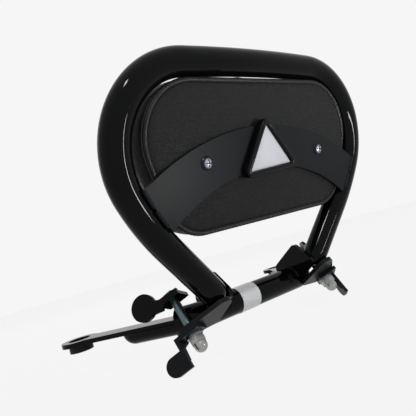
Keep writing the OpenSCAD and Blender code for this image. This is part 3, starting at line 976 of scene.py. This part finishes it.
def plate_beads(side):
    """Beads down each end of the cross plate, along x = c + sqrt(r r - z z) round the side's centre."""
    inset = math.sqrt(TUBE_R**2 - (TUBE_R - PLATE_T) ** 2) + 0.3
    r = SIDE_R - inset + 0.5
    beads = []
    for start, stop in ((42, 55), (59, 72)):
        z = np.linspace(PLATE_TOP_Z - start, PLATE_TOP_Z - stop, 24)
        x = SIDE_C[0] + np.sqrt(r**2 - (z - SIDE_C[1]) ** 2)
        path = np.column_stack([side * x, np.full(24, -TUBE_R + 0.4), z])
        beads.append(weld_bead("bead", to_row(from_loop(path)), 0.0015, pitch=0.0022))
    return beads


def foot_beads(side):
    """Beads round the base tube, r (cos a, sin a) in y and z: beside the cheek, and two short ones."""
    cheek_x = side * (LEG_X - TUBE_R - 2.0)
    lines = [(cheek_x + at, TUBE_R + 0.5, 62, 168, 30, 0.0013) for at in (-2.6, 2.6)]
    lines += [(side * at, TUBE_R + 0.1, 150, 190, 16, 0.0008) for at in (42.5, 46.0)]
    beads = []
    for x, r, start, stop, count, size in lines:
        y_and_z = arc((0.0, 0.0), r, start, stop, count)
        path = np.column_stack([np.full(count, x), y_and_z])
        beads.append(weld_bead("bead", to_row(path), size, pitch=0.0021))
    return beads


def tongue_beads(side):
    """Beads along both edges of the tongue, where it closes the base tube's open end."""
    beads = []
    for edge in (-1, 1):
        s = np.linspace(CUT_S + 3, END_L + 2, 24)
        path = np.column_stack([s, np.full(24, edge * (TUBE_R + 0.1)), np.full(24, -1.2)])
        beads.append(weld_bead("bead", to_row(from_end(path, side)), 0.0008, pitch=0.0018))
    return beads


class BACKREST_OT_stage(bpy.types.Operator):
    """Sets up the floor, the lamps, the world and the camera"""

    bl_idname = "backrest.stage"
    bl_label = "Set up the studio"

    def execute(self, context):
        scene = context.scene
        size = scene.backrest_stage
        tone = tuple(size.backdrop)
        scene.view_settings.view_transform = "Standard"
        scene.world = studio_world(tone)
        studio_floor(tone)
        for name, place, aim, width, height, power, glints in (
            ("key", (-0.75, -0.75, 0.85), (0.0, -0.1, 0.12), 0.7, 0.7, 5.5, False),
            ("front", (0.3, 0.9, 0.7), (0.0, -0.1, 0.1), 0.7, 0.6, 9.0, False),
            ("panel", (-0.47, -0.74, 0.97), (0.0, -0.1, 0.15), 0.09, 0.12, 3.0, True),
            ("side", (0.75, -0.95, 0.45), (0.03, -0.1, 0.15), 0.4, 0.5, 1.5, False),
            ("strip", (0.36, -0.92, -0.03), None, 0.05, 1.0, 12.0, True),
        ):
            lamp(name, place, aim, width, height, power * size.lamp_scale, glints)
        studio_camera()
        return {"FINISHED"}


def lamp(name, place, aim, width, height, power, glints):
    """Rectangular soft lamp, turned to what it lights or, without an aim, laid flat beside the object.

    Glints says whether gloss mirrors it.
    """
    light = bpy.data.lights.new(name, "AREA")
    light.shape = "RECTANGLE"
    light.size, light.size_y = width, height
    light.energy = power
    obj = bpy.data.objects.new(name, light)
    obj.location = place
    obj.visible_glossy = glints
    if aim is None:
        obj.rotation_euler = (math.pi, 0, math.atan2(0.5, 0.8))
    else:
        obj.rotation_euler = (Vector(aim) - Vector(place)).to_track_quat("-Z", "Y").to_euler()
    bpy.context.scene.collection.objects.link(obj)


def seen_directly(tree, path):
    """1 for rays that show the background: from the camera, off gloss and through glass."""
    through = math_node(tree, "MAXIMUM", path.outputs["Is Transmission Ray"], path.outputs["Is Glossy Ray"])
    return math_node(tree, "MAXIMUM", path.outputs["Is Camera Ray"], through)


def studio_world(tone):
    """Dim studio round the object, with the backdrop's colour behind it."""
    world = bpy.data.worlds.new("studio")
    world.use_nodes = True
    tree = world.node_tree
    room = tree.nodes["Background"]
    room.inputs["Color"].default_value = (0.55, 0.57, 0.6, 1)
    room.inputs["Strength"].default_value = 0.35
    plain = add(tree, "ShaderNodeBackground", {"Color": (*tone, 1), "Strength": 1.0})
    path = tree.nodes.new("ShaderNodeLightPath")
    mix = tree.nodes.new("ShaderNodeMixShader")
    tree.links.new(seen_directly(tree, path), mix.inputs["Fac"])
    tree.links.new(room.outputs[0], mix.inputs[1])
    tree.links.new(plain.outputs[0], mix.inputs[2])
    tree.links.new(mix.outputs[0], tree.nodes["World Output"].inputs["Surface"])
    return world


def studio_floor(tone):
    """Round floor under the lowest point: the backdrop's colour, darkened a little by the object's shadow."""
    low = CAD_BOX[0][2] - 0.001
    a = np.linspace(0, 2 * math.pi, 96, endpoint=False)
    circle = np.column_stack([np.cos(a), np.sin(a)])
    rings = np.array([np.column_stack([r * circle, np.full(96, low)]) for r in (3.0, 0.8, 0.3)])
    floor = rings_mesh("floor", rings, cap_end=np.array([0.0, 0.0, low]))
    if floor.data.polygons[0].normal.z < 0:
        floor.data.flip_normals()
    material = bpy.data.materials.new("floor")
    material.use_nodes = True
    tree = material.node_tree
    shader = tree.nodes["Principled BSDF"]
    grit = add(tree, "ShaderNodeTexNoise", {"Scale": 30.0})
    where = tree.nodes.new("ShaderNodeTexCoord")
    tree.links.new(where.outputs["Object"], grit.inputs["Vector"])
    colour = blend_colours(tree, grit.outputs["Fac"], (0.70, 0.70, 0.70), (0.72, 0.72, 0.72))
    tree.links.new(colour, shader.inputs["Base Color"])
    shader.inputs["Roughness"].default_value = 0.9
    glow = add(tree, "ShaderNodeEmission", {"Color": (*tone, 1), "Strength": 1.0})
    path = tree.nodes.new("ShaderNodeLightPath")
    mix = tree.nodes.new("ShaderNodeMixShader")
    share = math_node(tree, "MULTIPLY", seen_directly(tree, path), 0.96)
    tree.links.new(share, mix.inputs["Fac"])
    tree.links.new(shader.outputs[0], mix.inputs[1])
    tree.links.new(glow.outputs[0], mix.inputs[2])
    tree.links.new(mix.outputs[0], tree.nodes["Material Output"].inputs["Surface"])
    floor.data.materials.append(material)
    return floor


def studio_camera():
    """Camera behind the backrest, to its left and a little above, as in the photograph."""
    data = bpy.data.cameras.new("camera")
    data.lens = 37.62
    data.sensor_width = 36.0
    camera = bpy.data.objects.new("camera", data)
    right = Vector((0.7705, -0.5783, -0.2681)).normalized()
    back = Vector((-0.6158, -0.7839, -0.0792)).normalized()
    up = back.cross(right).normalized()
    right = up.cross(back)
    pose = Matrix((right, up, back)).transposed().to_4x4()
    pose.translation = Vector((-0.2968, -0.45205, 0.0695))
    camera.matrix_world = pose
    bpy.context.scene.collection.objects.link(camera)
    bpy.context.scene.camera = camera


class BACKREST_PT_panel(bpy.types.Panel):
    """Lists the pieces and their settings"""

    bl_idname = "BACKREST_PT_panel"
    bl_label = "Scooter backrest"
    bl_space_type = "VIEW_3D"
    bl_region_type = "UI"
    bl_category = "Backrest"

    def draw(self, context):
        scene = context.scene
        for settings, operators in (
            (scene.backrest_pad, ("cushion", "back")),
            (scene.backrest_finish, ("tubes", "hardware", "badge", "welds")),
            (scene.backrest_stage, ("stage",)),
        ):
            box = self.layout.box()
            for name in type(settings).__annotations__:
                box.prop(settings, name)
            for operator in operators:
                box.operator("backrest." + operator)


CLASSES = (
    BackrestPadSettings,
    BackrestFinishSettings,
    BackrestStageSettings,
    BACKREST_OT_tubes,
    BACKREST_OT_hardware,
    BACKREST_OT_cushion,
    BACKREST_OT_back,
    BACKREST_OT_badge,
    BACKREST_OT_welds,
    BACKREST_OT_stage,
    BACKREST_PT_panel,
)


def register():
    """Registers the classes and hangs the settings on the scene."""
    for cls in CLASSES:
        bpy.utils.register_class(cls)
    bpy.types.Scene.backrest_pad = bpy.props.PointerProperty(type=BackrestPadSettings)
    bpy.types.Scene.backrest_finish = bpy.props.PointerProperty(type=BackrestFinishSettings)
    bpy.types.Scene.backrest_stage = bpy.props.PointerProperty(type=BackrestStageSettings)


def unregister():
    """Takes the settings off the scene and unregisters the classes."""
    del bpy.types.Scene.backrest_stage
    del bpy.types.Scene.backrest_finish
    del bpy.types.Scene.backrest_pad
    for cls in reversed(CLASSES):
        bpy.utils.unregister_class(cls)


def main():
    """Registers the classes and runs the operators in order."""
    register()
    bpy.ops.backrest.tubes()
    bpy.ops.backrest.hardware()
    bpy.ops.backrest.cushion()
    bpy.ops.backrest.back()
    bpy.ops.backrest.badge()
    bpy.ops.backrest.welds()
    bpy.ops.backrest.stage()
    bpy.context.view_layer.update()


if __name__ == "__main__":
    main()
